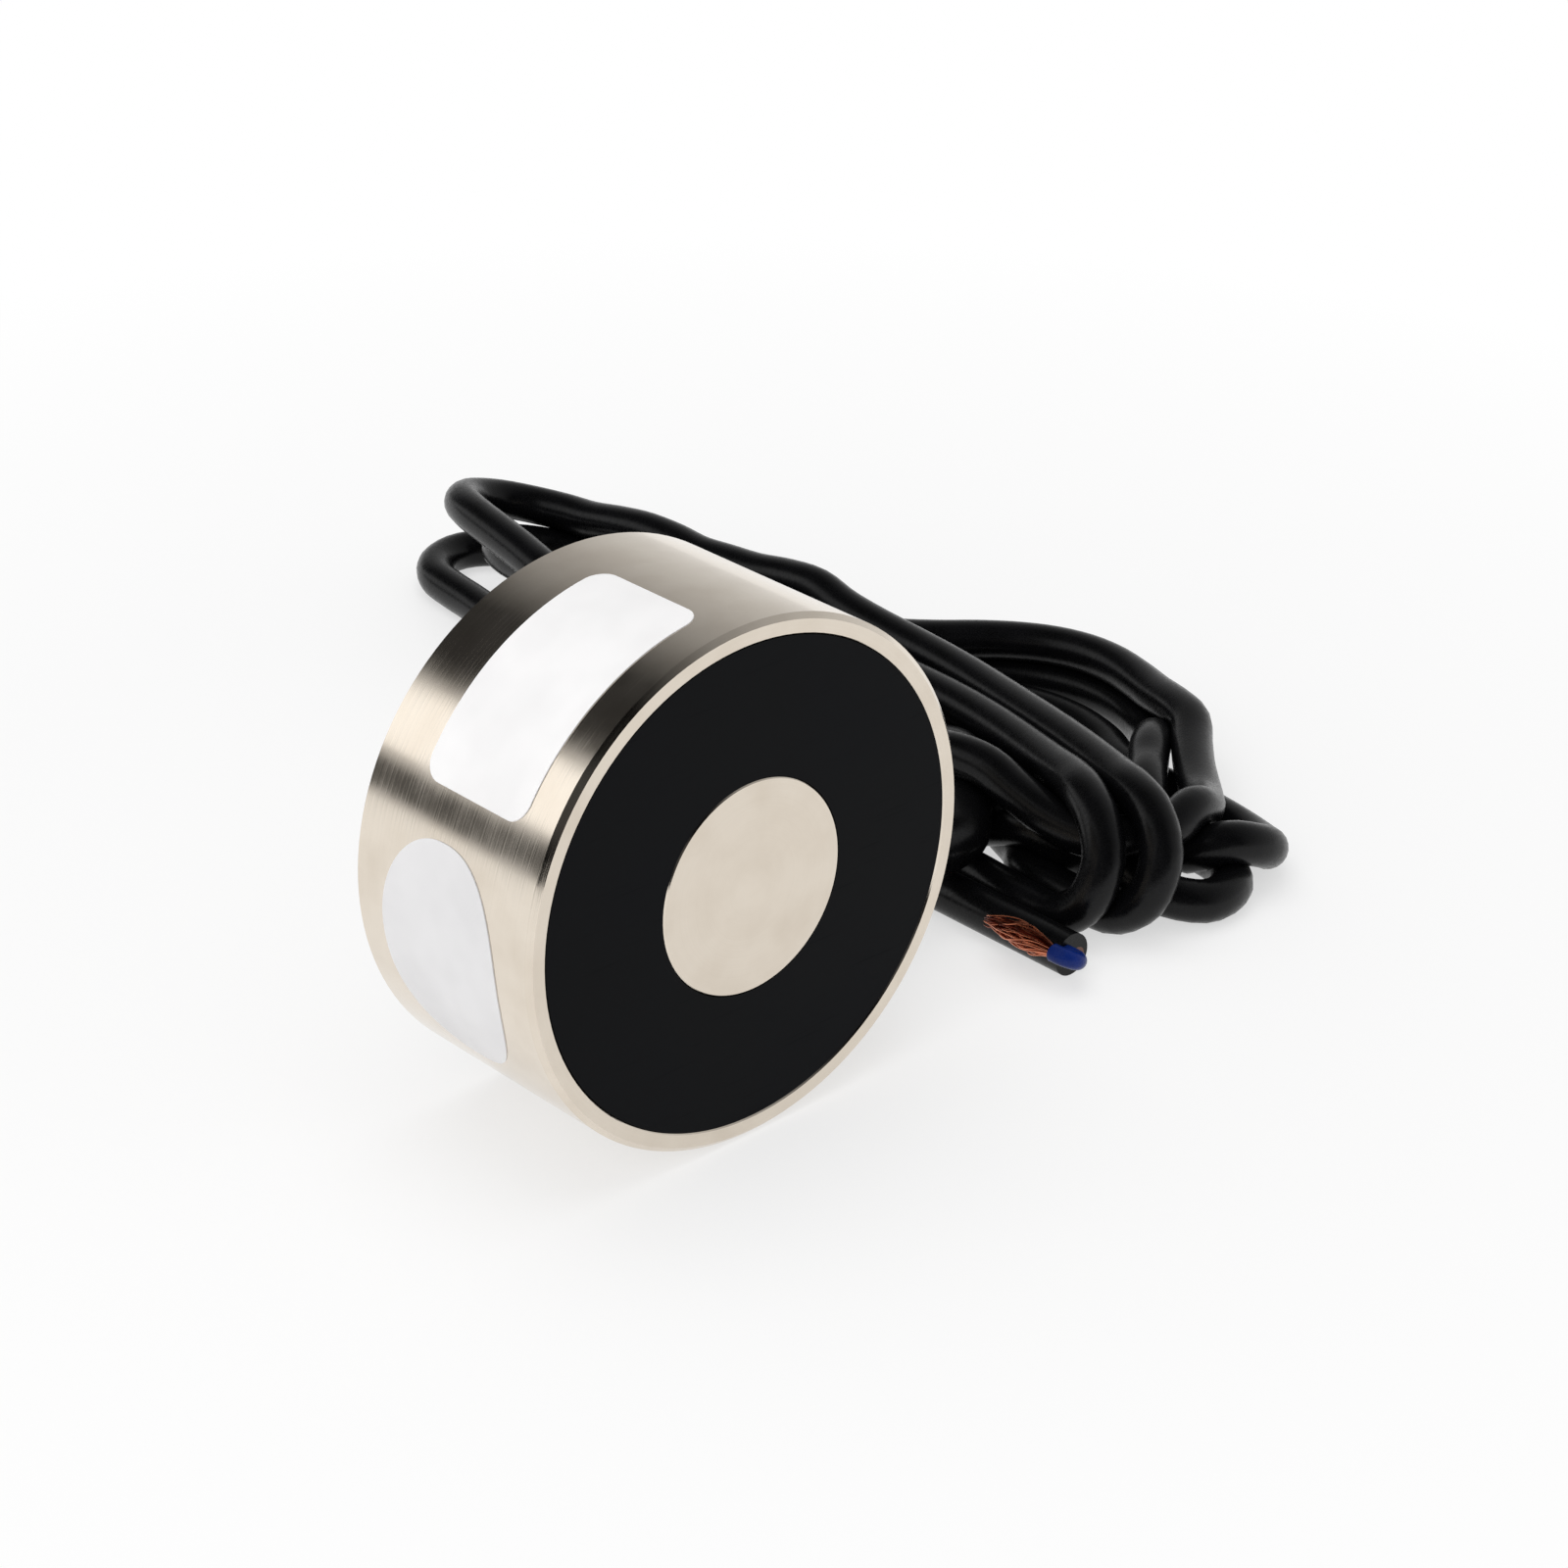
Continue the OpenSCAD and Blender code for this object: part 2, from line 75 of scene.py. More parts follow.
def hank_route():
    """The six loose turns between the lead-out and the tail: long loops with narrow far folds."""
    into_hank = arc(0.072, 0.025, 0.017, -75, 0, 0.0115, 0.012, 5)
    into_hank += [(0.088, 0.055, 0.0105), (0.088, 0.075, 0.0095)]
    rightmost_turn = arc(0.098, 0.088, 0.0105, 180, 0, 0.008, 0.004, 7)
    rightmost_turn += [(0.1125, 0.074, 0.0035), (0.1190, 0.060, 0.0035), (0.1265, 0.048, 0.0035),
        (0.1285, 0.038, 0.0035), (0.1258, 0.028, 0.0035), (0.121, 0.016, 0.0035), (0.1185, 0.006, 0.0035),
        (0.118, -0.002, 0.0035)]
    rightmost_turn += [(0.1155, -0.014, 0.0035), (0.1095, -0.0225, 0.0035), (0.102, -0.0215, 0.007),
        (0.098, -0.012, 0.0102)]
    rightmost_turn += [(0.094, 0.020, 0.0105), (0.090, 0.060, 0.0105), (0.085, 0.086, 0.010)]
    front_turn = arc(0.094, 0.099, 0.0105, 180, 0, 0.0085, 0.007, 7)
    front_turn += [(0.1065, 0.080, 0.004), (0.107, 0.050, 0.0035), (0.106, 0.015, 0.0035),
        (0.105, -0.006, 0.0035)]
    front_turn += arc(0.0955, -0.0155, 0.0095, 0, -100, 0.0035, 0.0038, 5)
    front_turn += [(0.0892, -0.0215, 0.0055), (0.0865, -0.014, 0.009), (0.086, -0.004, 0.0105),
        (0.085, 0.015, 0.0105), (0.083, 0.060, 0.008), (0.082, 0.088, 0.008)]
    lower_ear = arc(0.0915, 0.122, 0.0105, 180, 0, 0.008, 0.0035, 7)
    lower_ear += [(0.107, 0.098, 0.004), (0.117, 0.076, 0.0035), (0.130, 0.0605, 0.0035),
        (0.138, 0.051, 0.0035), (0.1393, 0.041, 0.0035), (0.1357, 0.029, 0.0035),
        (0.1280, 0.019, 0.0050), (0.1185, 0.012, 0.0090), (0.1085, 0.007, 0.0105), (0.102, -0.0015, 0.0105),
        (0.0955, -0.0080, 0.0105), (0.0885, -0.006, 0.0105), (0.084, 0.006, 0.0105),
        (0.080, 0.040, 0.0105), (0.077, 0.090, 0.012)]
    upper_ear = arc(0.088, 0.113, 0.0105, 180, 0, 0.013, 0.011, 7)
    upper_ear += [(0.101, 0.098, 0.0105), (0.1110, 0.0800, 0.0105), (0.1240, 0.0665, 0.0105),
        (0.1330, 0.0585, 0.0105), (0.1395, 0.0500, 0.0105), (0.1400, 0.0395, 0.0105),
        (0.1340, 0.0275, 0.0110), (0.1250, 0.0155, 0.0115), (0.1190, 0.007, 0.0110),
        (0.1125, -0.0028, 0.0105), (0.1055, -0.012, 0.0108), (0.0983, -0.0182, 0.0115),
        (0.0887, -0.0145, 0.012), (0.083, -0.005, 0.0135), (0.081, 0.015, 0.015), (0.080, 0.060, 0.017),
        (0.078, 0.100, 0.0175)]
    lower_diagonal = [(0.0788, 0.126, 0.0175), (0.0805, 0.138, 0.0175), (0.085, 0.147, 0.0165),
        (0.0925, 0.150, 0.014), (0.0985, 0.145, 0.0115), (0.100, 0.134, 0.011), (0.0985, 0.117, 0.0135),
        (0.0955, 0.099, 0.0165), (0.0965, 0.078, 0.0175), (0.098, 0.058, 0.0175), (0.097, 0.035, 0.0185), (0.0915, 0.015, 0.0195),
        (0.085, -0.001, 0.020), (0.0785, -0.0115, 0.019), (0.0748, -0.0175, 0.0125),
        (0.0743, -0.0165, 0.006), (0.0738, -0.008, 0.0036), (0.075, 0.010, 0.0035),
        (0.074, 0.050, 0.004), (0.073, 0.090, 0.015)]
    upper_diagonal = [(0.0735, 0.112, 0.023), (0.075, 0.128, 0.025), (0.0765, 0.140, 0.0255),
        (0.079, 0.149, 0.0255), (0.0855, 0.157, 0.023), (0.0935, 0.156, 0.020), (0.099, 0.147, 0.018),
        (0.1005, 0.1326, 0.0175), (0.101, 0.118, 0.0178), (0.1035, 0.100, 0.0185), (0.106, 0.080, 0.018),
        (0.1083, 0.0578, 0.0175), (0.1075, 0.046, 0.0175), (0.104, 0.0337, 0.018),
        (0.100, 0.020, 0.0195), (0.0955, 0.005, 0.0205), (0.090, -0.008, 0.021), (0.085, -0.0175, 0.019),
        (0.082, -0.023, 0.0125), (0.0815, -0.0225, 0.0065), (0.0805, -0.014, 0.0036),
        (0.080, -0.004, 0.0035), (0.083, 0.012, 0.0035), (0.088, 0.030, 0.0035), (0.089, 0.060, 0.0035),
        (0.088, 0.095, 0.0035)]
    last_fold = [(0.090, 0.120, 0.0035), (0.096, 0.140, 0.0035)]
    last_fold += arc(0.092, 0.1595, 0.0105, -30, 190, 0.0035, 0.0035, 9)
    last_fold += [(0.079, 0.138, 0.0035), (0.073, 0.115, 0.0035), (0.068, 0.097, 0.0035)]
    return (into_hank + rightmost_turn + front_turn + lower_ear + upper_ear
            + lower_diagonal + upper_diagonal + last_fold)


def smooth_line(points, step):
    """Even points, about a step apart, on a centripetal Catmull-Rom curve through the given ones."""
    p = np.array(points)
    p = np.vstack([2 * p[0] - p[1], p, 2 * p[-1] - p[-2]])
    dense = []
    for i in range(1, len(p) - 2):
        a, b, c, d = p[i - 1:i + 3]
        t1 = np.linalg.norm(b - a) ** 0.5
        t2 = t1 + np.linalg.norm(c - b) ** 0.5
        t3 = t2 + np.linalg.norm(d - c) ** 0.5
        for t in np.linspace(t1, t2, 24, endpoint=False):
            ab = a + (b - a) * t / t1
            bc = b + (c - b) * (t - t1) / (t2 - t1)
            cd = c + (d - c) * (t - t2) / (t3 - t2)
            abc = ab + (bc - ab) * t / t2
            bcd = bc + (cd - bc) * (t - t1) / (t3 - t1)
            dense.append(abc + (bcd - abc) * (t - t1) / (t2 - t1))
    dense.append(p[-2])
    dense = np.array(dense)
    along = np.concatenate([[0], np.cumsum(np.linalg.norm(np.diff(dense, axis=0), axis=1))])
    places = np.linspace(0, along[-1], round(along[-1] / step) + 1)
    return np.stack([np.interp(places, along, dense[:, k]) for k in range(3)], axis=1)


def settle(line, diameter, bend_radius, rounds):
    """Lets the cable find its place: off itself, the floor and the pot, with its length and easy bends kept."""
    p = line.copy()
    count = len(p)
    rest = np.linalg.norm(p[1] - p[0])
    free = np.ones((count, 1))
    free[:6] = 0
    free[-30:] = 0
    near_i, near_j = np.triu_indices(count, math.ceil(diameter * 1.6 / rest))
    span = 4
    chord = 2 * bend_radius * math.sin(span * rest / (2 * bend_radius))
    for _ in range(rounds):
        q = p.copy()
        q[1:-1] += 0.4 * ((p[:-2] + p[2:]) / 2 - p[1:-1])
        q += 0.016 * (line - q)
        q[:, 2] -= 0.00003
        p += free * (q - p)
        for _ in range(2):
            gap = p[near_i] - p[near_j]
            distance = np.linalg.norm(gap, axis=1)
            hit = distance < diameter
            a, b = near_i[hit], near_j[hit]
            push = (0.3 * (diameter - distance[hit]) / distance[hit])[:, None] * gap[hit]
            np.add.at(p, a, push * free[a])
            np.add.at(p, b, -push * free[b])
            reach = p[span:] - p[:-span]
            length = np.linalg.norm(reach, axis=1)[:, None]
            push = 0.25 * np.maximum(chord - length, 0) / length * reach
            p[span:] += push * free[span:]
            p[:-span] -= push * free[:-span]
            step = np.diff(p, axis=0)
            length = np.linalg.norm(step, axis=1)[:, None]
            fix = 0.5 * (length - rest) / length * step
            p[:-1] += fix * free[:-1]
            p[1:] -= fix * free[1:]
            beside_pot = (np.abs(p[:, 1]) < POT_HALF_H + diameter / 2) & (free[:, 0] > 0)
            from_axis = np.hypot(p[:, 0], p[:, 2] - POT_AXIS_Z)
            p[:, 0] += np.where(beside_pot, np.maximum(POT_R + diameter / 2 - from_axis, 0), 0)
            p[:, 2] = np.where(free[:, 0] > 0, np.maximum(p[:, 2], diameter / 2), p[:, 2])
    return p

def tube(line, radius, sides):
    """Corners and faces of a closed round wire along the points, none of which lie above each other."""
    way = np.gradient(line, axis=0)
    way /= np.linalg.norm(way, axis=1)[:, None]
    across = np.cross(way, (0, 0, 1))
    across /= np.linalg.norm(across, axis=1)[:, None]
    upward = np.cross(across, way)
    corners = []
    for centre, u, v in zip(line, across, upward):
        for k in range(sides):
            angle = 2 * math.pi * k / sides
            corners.append(centre + radius * (math.cos(angle) * u + math.sin(angle) * v))
    faces = []
    for i in range(len(line) - 1):
        for k in range(sides):
            a, b = i * sides + k, i * sides + (k + 1) % sides
            faces.append((a, b, b + sides, a + sides))
    last = (len(line) - 1) * sides
    faces.append(tuple(range(sides - 1, -1, -1)))
    faces.append(tuple(range(last, last + sides)))
    return corners, faces


def linear(code):
    """The linear colour of an sRGB hex code such as #8A6B4C."""
    channels = [int(code[i:i + 2], 16) / 255 for i in (1, 3, 5)]
    return tuple(c / 12.92 if c <= 0.04045 else ((c + 0.055) / 1.055) ** 2.4 for c in channels) + (1.0,)


def add_node(tree, kind, inputs=None, **settings):
    """Adds a node with its settings; each input takes a value, or a link where it is given a socket."""
    node = tree.nodes.new(kind)
    for name, value in settings.items():
        setattr(node, name, value)
    for key, value in (inputs or {}).items():
        if isinstance(value, bpy.types.NodeSocket):
            tree.links.new(value, node.inputs[key])
        else:
            node.inputs[key].default_value = value
    return node


def new_material(name):
    """A material with an empty node tree, and that tree."""
    material = bpy.data.materials.new(name)
    material.use_nodes = True
    material.node_tree.nodes.clear()
    return material, material.node_tree


def finish_with(tree, shader_inputs):
    """Closes a material with a Principled shader of these inputs."""
    shader = add_node(tree, "ShaderNodeBsdfPrincipled", shader_inputs)
    add_node(tree, "ShaderNodeOutputMaterial", {"Surface": shader.outputs[0]})


def grain(tree, place, size, detail=2.0):
    """A noise's factor whose blots are about size metres across."""
    return add_node(tree, "ShaderNodeTexNoise", {"Vector": place, "Scale": 1 / size, "Detail": detail}).outputs["Fac"]


def between(tree, factor, low, high, start=0.35, end=0.65):
    """Goes from low to high, both numbers or both hex colours, while the factor goes from start to end."""
    if isinstance(low, str):
        share = add_node(tree, "ShaderNodeMapRange", {0: factor, 1: start, 2: end}).outputs[0]
        return add_node(tree, "ShaderNodeMix", {0: share, 6: linear(low), 7: linear(high)},
                        data_type="RGBA").outputs[2]
    return add_node(tree, "ShaderNodeMapRange", {0: factor, 1: start, 2: end, 3: low, 4: high}).outputs[0]


def dress(material, *node_names):
    """Gives CAD nodes the material."""
    for node_name in node_names:
        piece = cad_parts[node_name]
        piece.data.materials.clear()
        piece.data.materials.append(material)


def object_place(tree):
    """The socket of the place in metres: every piece's own origin is the frame's."""
    return add_node(tree, "ShaderNodeTexCoord").outputs["Object"]


def plated_steel(settings):
    """Steel turned on a lathe and nickel plated: warm, bright and semi-gloss, with faint turning lines."""
    material, tree = new_material("Nickel plated steel, turned")
    place = object_place(tree)
    shifted = add_node(tree, "ShaderNodeVectorMath", {0: place, 1: (0, 0, -POT_AXIS_Z)}, operation="ADD").outputs[0]
    radial = add_node(tree, "ShaderNodeVectorMath", {0: shifted, 1: (1, 0, 1)}, operation="MULTIPLY").outputs[0]
    radius = add_node(tree, "ShaderNodeVectorMath", {0: radial}, operation="LENGTH").outputs["Value"]
    parts = add_node(tree, "ShaderNodeSeparateXYZ", {0: shifted})
    # The tool leaves no lines on the last millimetres round the middle.
    turned = add_node(tree, "ShaderNodeMath", {0: radius, 1: 3 * MM}, operation="MAXIMUM").outputs[0]
    profile = add_node(tree, "ShaderNodeMath", {0: parts.outputs["Y"], 1: turned}, operation="ADD").outputs[0]
    # The real feed is about 0.1 mm a turn; the lines are drawn wider, so that they show.
    lines = add_node(tree, "ShaderNodeTexNoise", {"W": profile, "Scale": 1 / settings.line_width, "Detail": 3.0},
                     noise_dimensions="1D").outputs["Fac"]
    # Plating clouds are some millimetres across.
    cloud = grain(tree, place, 9 * MM, 3.0)
    facing = add_node(tree, "ShaderNodeNewGeometry").outputs["Normal"]
    facing = add_node(tree, "ShaderNodeSeparateXYZ", {0: facing}).outputs["Y"]
    facing = add_node(tree, "ShaderNodeMath", {0: facing}, operation="ABSOLUTE").outputs[0]
    rough = between(tree, facing, settings.side_roughness, settings.face_roughness, 0.8, 1.0)
    wear = between(tree, lines, -0.05, 0.05, 0.3, 0.7)
    rough = add_node(tree, "ShaderNodeMath", {0: rough, 1: wear}, operation="ADD").outputs[0]
    wear = between(tree, cloud, -0.04, 0.04)
    rough = add_node(tree, "ShaderNodeMath", {0: rough, 1: wear}, operation="ADD").outputs[0]
    colour = between(tree, cloud, settings.shade, settings.colour, 0.3, 0.6)
    # The tapped hole's thread: 1.25 mm a turn, drawn as relief on the plain wall.
    turn = add_node(tree, "ShaderNodeMath", {0: parts.outputs["Z"], 1: parts.outputs["X"]},
                    operation="ARCTAN2").outputs[0]
    rise = add_node(tree, "ShaderNodeMath", {0: turn, 1: 1.25 * MM / (2 * math.pi), 2: parts.outputs["Y"]},
                    operation="MULTIPLY_ADD").outputs[0]
    thread = add_node(tree, "ShaderNodeMath", {0: rise, 1: 0.625 * MM}, operation="PINGPONG").outputs[0]
    in_hole = add_node(tree, "ShaderNodeMath", {0: radius, 1: 3.7 * MM}, operation="LESS_THAN").outputs[0]
    behind = add_node(tree, "ShaderNodeMath", {0: parts.outputs["Y"], 1: 0.0}, operation="GREATER_THAN").outputs[0]
    in_hole = add_node(tree, "ShaderNodeMath", {0: in_hole, 1: behind}, operation="MULTIPLY").outputs[0]
    thread = add_node(tree, "ShaderNodeMath", {0: thread, 1: in_hole}, operation="MULTIPLY").outputs[0]
    relief = add_node(tree, "ShaderNodeBump", {"Height": thread, "Strength": 1.0, "Distance": 1.0}).outputs[0]
    relief = add_node(tree, "ShaderNodeBump", {"Height": lines, "Strength": 0.25, "Distance": 0.01 * MM,
                                               "Normal": relief}).outputs[0]
    finish_with(tree, {"Base Color": colour, "Metallic": 1.0, "Roughness": rough, "Normal": relief})
    return material


def cast_resin(settings):
    """Epoxy poured into the groove and skimmed flat: near black, satin, with a faint haze and scuffs."""
    material, tree = new_material("Epoxy resin, cast")
    place = object_place(tree)
    cloud = grain(tree, place, 25 * MM, 3.0)
    colour = between(tree, cloud, settings.colour, settings.haze, 0.35, 0.7)
    # Scuffs are hair-thin and a few centimetres long.
    drawn = add_node(tree, "ShaderNodeMapping", {"Vector": place, "Rotation": (0, 0.6, 0),
                                                 "Scale": (60, 60, 2500)}).outputs[0]
    scuff = add_node(tree, "ShaderNodeTexNoise", {"Vector": drawn, "Scale": 1.0, "Detail": 1.0}).outputs["Fac"]
    rough = between(tree, cloud, settings.roughness - 0.06, settings.roughness + 0.06)
    lift = between(tree, scuff, 0.0, 0.12, 0.68, 0.75)
    rough = add_node(tree, "ShaderNodeMath", {0: rough, 1: lift}, operation="ADD").outputs[0]
    relief = add_node(tree, "ShaderNodeBump", {"Height": cloud, "Strength": 0.4, "Distance": 0.2 * MM}).outputs[0]
    finish_with(tree, {"Base Color": colour, "Roughness": rough, "Normal": relief,
                       "Specular IOR Level": settings.gloss})
    return material


def label_film(name, colour, shade, roughness):
    """Polyester film with a white face: even and smooth, with a slight waviness from the glue below."""
    material, tree = new_material(name)
    place = object_place(tree)
    cloud = grain(tree, place, 12 * MM, 2.0)
    wave = grain(tree, place, 4 * MM, 1.0)
    relief = add_node(tree, "ShaderNodeBump", {"Height": wave, "Strength": 0.3, "Distance": 0.05 * MM}).outputs[0]
    finish_with(tree, {"Base Color": between(tree, cloud, shade, colour), "Normal": relief,
                       "Roughness": between(tree, wave, roughness - 0.04, roughness + 0.04)})
    return material


def soft_plastic(name, colour, shade, roughness, grain_size, relief_depth, specular=0.5):
    """A moulded or extruded polymer: two close tones, and a grain of the given size that breaks up its gloss."""
    material, tree = new_material(name)
    place = object_place(tree)
    skin = grain(tree, place, grain_size, 3.0)
    lay = grain(tree, place, 6 * MM, 2.0)
    height = add_node(tree, "ShaderNodeMath", {0: lay, 1: 2.5, 2: skin}, operation="MULTIPLY_ADD").outputs[0]
    relief = add_node(tree, "ShaderNodeBump", {"Height": height, "Strength": 0.5, "Distance": relief_depth}).outputs[0]
    finish_with(tree, {"Base Color": between(tree, lay, shade, colour), "Normal": relief,
                       "Roughness": between(tree, skin, roughness - 0.06, roughness + 0.06),
                       "Specular IOR Level": specular})
    return material


def copper_wire(name, colour, shade, roughness, by_wire=False):
    """Drawn copper: reddish metal that is bright along each wire and browner where it has tarnished; with by_wire, each
    wire's own tone is partly painted glint or painted shade.
    """
    material, tree = new_material(name)
    place = object_place(tree)
    tarnish_and_glints = grain(tree, place, 1.2 * MM, 3.0)
    if by_wire:
        # Each loose wire gets one random tone, partly real tarnish and partly painted: the spread from dark brown to
        # bright pink paints glints on some wires and shade on others.
        wire = add_node(tree, "ShaderNodeNewGeometry").outputs["Random Per Island"]
        tarnish_and_glints = add_node(tree, "ShaderNodeMath", {0: wire, 1: 0.5, 2: 0.0}, operation="MULTIPLY_ADD").outputs[0]
        tarnish_and_glints = add_node(tree, "ShaderNodeMath", {0: tarnish_and_glints, 1: 0.25}, operation="ADD").outputs[0]
    finish_with(tree, {"Base Color": between(tree, tarnish_and_glints, shade, colour), "Metallic": 1.0,
                       "Roughness": between(tree, tarnish_and_glints, roughness + 0.12, roughness - 0.05)})
    return material


def braided_sleeve(name, colour, shade):
    """Braided glass yarn with varnish: a fine diamond weave, 1 mm from pick to pick, and little gloss."""
    material, tree = new_material(name)
    place = object_place(tree)
    weave = add_node(tree, "ShaderNodeTexWave", {"Vector": place, "Scale": 1 / (20 * 1 * MM), "Distortion": 1.0},
                     bands_direction="DIAGONAL").outputs["Fac"]
    relief = add_node(tree, "ShaderNodeBump", {"Height": weave, "Strength": 0.6, "Distance": 0.1 * MM}).outputs[0]
    finish_with(tree, {"Base Color": between(tree, weave, shade, colour, 0.2, 0.8), "Roughness": 0.7,
                       "Normal": relief})
    return material


class SteelSettings(bpy.types.PropertyGroup):
    colour: bpy.props.StringProperty(name="Plating colour", description="sRGB hex colour of the nickel plating",
                                     default="#E6DCCE")
    shade: bpy.props.StringProperty(name="Plating shade", description="sRGB hex colour of the plating's clouds",
                                    default="#DCD1C2")
    side_roughness: bpy.props.FloatProperty(name="Side roughness", description="Roughness of the turned side",
                                            default=0.15, subtype="FACTOR", min=0, max=1)
    face_roughness: bpy.props.FloatProperty(name="Face roughness", description="Roughness of the ground faces",
                                            default=0.38, subtype="FACTOR", min=0, max=1)
    line_width: bpy.props.FloatProperty(name="Turning line", description="Width of a turning line",
                                        default=0.0003, unit="LENGTH", precision=5)


class ResinSettings(bpy.types.PropertyGroup):
    colour: bpy.props.StringProperty(name="Resin colour", description="sRGB hex colour of the cast epoxy",
                                     default="#07080A")
    haze: bpy.props.StringProperty(name="Resin haze", description="sRGB hex colour of the epoxy's haze",
                                   default="#0D0E11")
    roughness: bpy.props.FloatProperty(name="Roughness", description="Roughness of the skimmed epoxy",
                                       default=0.5, subtype="FACTOR", min=0, max=1)
    gloss: bpy.props.FloatProperty(name="Gloss", description="Specular level of the skimmed epoxy",
                                   default=0.06, subtype="FACTOR", min=0, max=1)


class LabelSettings(bpy.types.PropertyGroup):
    upper: bpy.props.StringProperty(name="Upper label", description="sRGB hex colour of the upper label",
                                    default="#FAF9F9")
    oval: bpy.props.StringProperty(name="Oval label", description="sRGB hex colour of the oval label",
                                   default="#ECEBEC")
    film: bpy.props.FloatProperty(name="Film", description="Thickness of the film", default=0.00015,
                                  unit="LENGTH", precision=5)
    oval_length: bpy.props.FloatProperty(name="Oval's length", description="Length of the oval label round the pot",
                                         default=0.036, unit="LENGTH", precision=4)
    oval_width: bpy.props.FloatProperty(name="Oval's width", description="Width of the oval label along the pot",
                                        default=0.0248, unit="LENGTH", precision=4)
    oval_middle: bpy.props.FloatProperty(name="Oval's middle", description="From the pole face to the oval's middle",
                                         default=0.0196, unit="LENGTH", precision=4)
    oval_angle: bpy.props.FloatProperty(name="Oval's angle", description="Degrees of the oval's middle over the level",
                                        default=-7.2)


class WiringSettings(bpy.types.PropertyGroup):
    nylon: bpy.props.StringProperty(name="Bobbin", description="sRGB hex colour of the nylon bobbin",
                                    default="#E0D5BC")
    tape: bpy.props.StringProperty(name="Tape", description="sRGB hex colour of the coil's tape", default="#D9AE3C")
    blue: bpy.props.StringProperty(name="Blue core", description="sRGB hex colour of the blue core",
                                   default="#08246C")
    brown: bpy.props.StringProperty(name="Brown core", description="sRGB hex colour of the brown core",
                                    default="#6A3A22")
    fold: bpy.props.FloatProperty(name="Fold radius", description="Radius of the blue core's fold",
                                  default=0.0022, unit="LENGTH", precision=4)


class StrandSettings(bpy.types.PropertyGroup):
    count: bpy.props.IntProperty(name="Wires", description="Number of bare wires", default=64, min=7)
    wire: bpy.props.FloatProperty(name="Wire diameter", description="Diameter of one bare wire",
                                  default=0.00026, unit="LENGTH", precision=5)
    length: bpy.props.FloatProperty(name="Bared length", description="Length of the bare copper",
                                    default=0.0145, unit="LENGTH", precision=4)
    # The bright end of the wires' random tones, pale enough to paint glints on the brightest wires.
    colour: bpy.props.StringProperty(name="Copper", description="sRGB hex colour of the bare copper",
                                     default="#DC8A6A")


class CableSettings(bpy.types.PropertyGroup):
    diameter: bpy.props.FloatProperty(name="Diameter", description="Outer diameter of the cable's jacket",
                                      default=0.007, unit="LENGTH", precision=4)
    bend: bpy.props.FloatProperty(name="Fold radius", description="Tightest bend that the jacket takes in the hank",
                                  default=0.0095, unit="LENGTH", precision=4)
    jacket: bpy.props.StringProperty(name="Jacket colour", description="sRGB hex colour of the PVC jacket",
                                     default="#0B0B0D")
    rubber: bpy.props.StringProperty(name="Bush colour", description="sRGB hex colour of the rubber bush",
                                     default="#161617")


class StageSettings(bpy.types.PropertyGroup):
    floor: bpy.props.StringProperty(name="Floor colour", description="sRGB hex colour of the floor", default="#FAFAFA")
    lens: bpy.props.FloatProperty(name="Lens", description="Focal length of the camera", default=88.883, unit="CAMERA")
    ambient: bpy.props.FloatProperty(name="Ambient", description="Strength of the world on matt surfaces", default=0.55)
    top_lamp: bpy.props.FloatProperty(name="Top lamp", description="Power of the large soft lamp overhead",
                                      default=6.5, unit="POWER")
    key_lamp: bpy.props.FloatProperty(name="Key lamp", description="Power of the soft lamp at the front left",
                                      default=6.5, unit="POWER")
    glint_lamp: bpy.props.FloatProperty(name="Glint lamp", description="Power of the small soft lamp behind",
                                        default=0.24, unit="POWER")


class MAGNET_OT_pot(bpy.types.Operator):
    """Plates the pot and the centre pole"""
    bl_idname = "magnet.pot"
    bl_label = "Pot and pole"

    def execute(self, context):
        dress(plated_steel(context.scene.magnet_steel), "pot_shell", "centre_pole")
        return {"FINISHED"}


class MAGNET_OT_resin(bpy.types.Operator):
    """Gives the potting its cast epoxy"""
    bl_idname = "magnet.resin"
    bl_label = "Potting resin"

    def execute(self, context):
        dress(cast_resin(context.scene.magnet_resin), "potting_resin")
        return {"FINISHED"}


class MAGNET_OT_labels(bpy.types.Operator):
    """Gives the two bare labels their film"""
    bl_idname = "magnet.labels"
    bl_label = "Labels"

    def execute(self, context):
        settings = context.scene.magnet_labels
        dress(label_film("Polyester label film, white", settings.upper, "#F3F2F2", 0.42), "rating_label")
        corners, faces = [], []
        rings = [(k / 14, settings.film) for k in range(15)] + [(1.0, -0.0001), (0.0, -0.0001)]
        sides = 96
        for share, height in rings:
            for k in range(sides):
                a = 2 * math.pi * k / sides
                along, across = (math.copysign(abs(v) ** 0.88, v) for v in (math.cos(a), math.sin(a)))
                angle = math.radians(settings.oval_angle) + math.asin(
                    share * along * math.sin(settings.oval_length / (2 * POT_R)))
                reach = POT_R + height
                corners.append((-reach * math.cos(angle), settings.oval_middle - POT_HALF_H
                                + share * across * settings.oval_width / 2, POT_AXIS_Z + reach * math.sin(angle)))
        for i in range(len(rings) - 1):
            for k in range(sides):
                a, b = i * sides + k, i * sides + (k + 1) % sides
                faces.append((a, a + sides, b + sides, b))
        mesh = bpy.data.meshes.new("oval_film")
        mesh.from_pydata(corners, [], faces)
        mesh.materials.append(label_film("Polyester label film, pale grey", settings.oval, "#E4E3E4", 0.38))
        film = bpy.data.objects.new("oval_film", mesh)
        context.collection.objects.link(film)
        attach(film, "root")
        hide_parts("oval_label")
        return {"FINISHED"}


